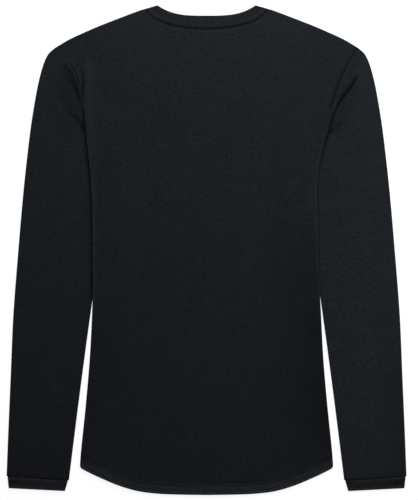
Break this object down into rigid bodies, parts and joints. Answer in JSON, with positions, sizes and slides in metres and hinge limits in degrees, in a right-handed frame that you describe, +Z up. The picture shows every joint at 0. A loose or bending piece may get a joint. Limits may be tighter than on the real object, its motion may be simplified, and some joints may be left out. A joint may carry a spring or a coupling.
{
  "type": "base layer top",
  "caption": "Slim long-sleeved crew-neck base layer top in black jersey knit, laid flat with its back up, with a rib neckband, rib cuffs and a curved turned hem.",
  "frame": {"origin": "on the surface that the top lies on, under the middle of its outline", "axes": "+X across the top, +Y from hem to neck, +Z up from the surface, out of the back panel; the wearer's left is -X"},
  "size_m": [0.5874, 0.719, 0.007],
  "materials": {
    "jersey": "matt fine jersey knit, near black with a cool cast",
    "ribbing": "matt fine rib knit, near black"
  },
  "bodies": {
    "root": {"front": "jersey", "back": "jersey", "sleeve_left": "jersey", "sleeve_right": "jersey", "neckband": "ribbing", "cuff_left": "ribbing", "cuff_right": "ribbing"}
  },
  "joints": []
}
